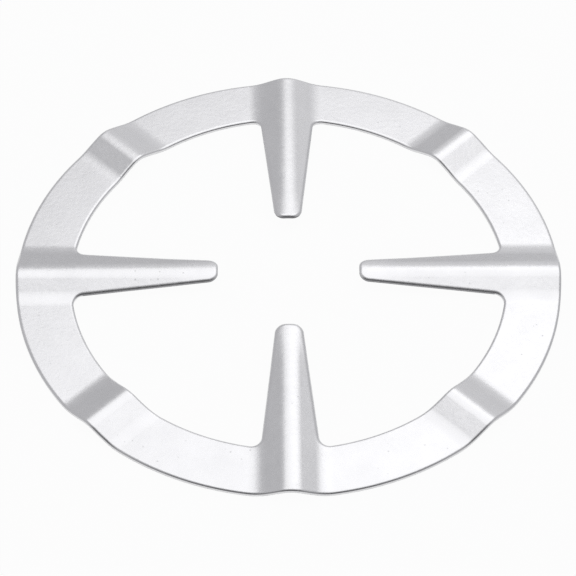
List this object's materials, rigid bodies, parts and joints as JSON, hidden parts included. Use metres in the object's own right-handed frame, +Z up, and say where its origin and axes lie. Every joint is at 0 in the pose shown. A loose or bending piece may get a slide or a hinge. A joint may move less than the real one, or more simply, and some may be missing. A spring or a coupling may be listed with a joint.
{
  "type": "gas hob reducer ring",
  "caption": "Flat pressed-steel ring with ridged fingers pointing inwards, which carries a small pan over a gas burner's pan support.",
  "frame": {"origin": "centre of the ring, level with the underside of its flats", "axes": "+Z up out of the ridges' crests, towards the pan; +X and +Y along the centre lines of two fingers, outwards"},
  "size_m": [0.14, 0.14, 0.0033],
  "materials": {
    "satin_steel": "satin rolled and pressed stainless steel"
  },
  "bodies": {
    "root": {"reducer_ring": "satin_steel"}
  },
  "joints": []
}
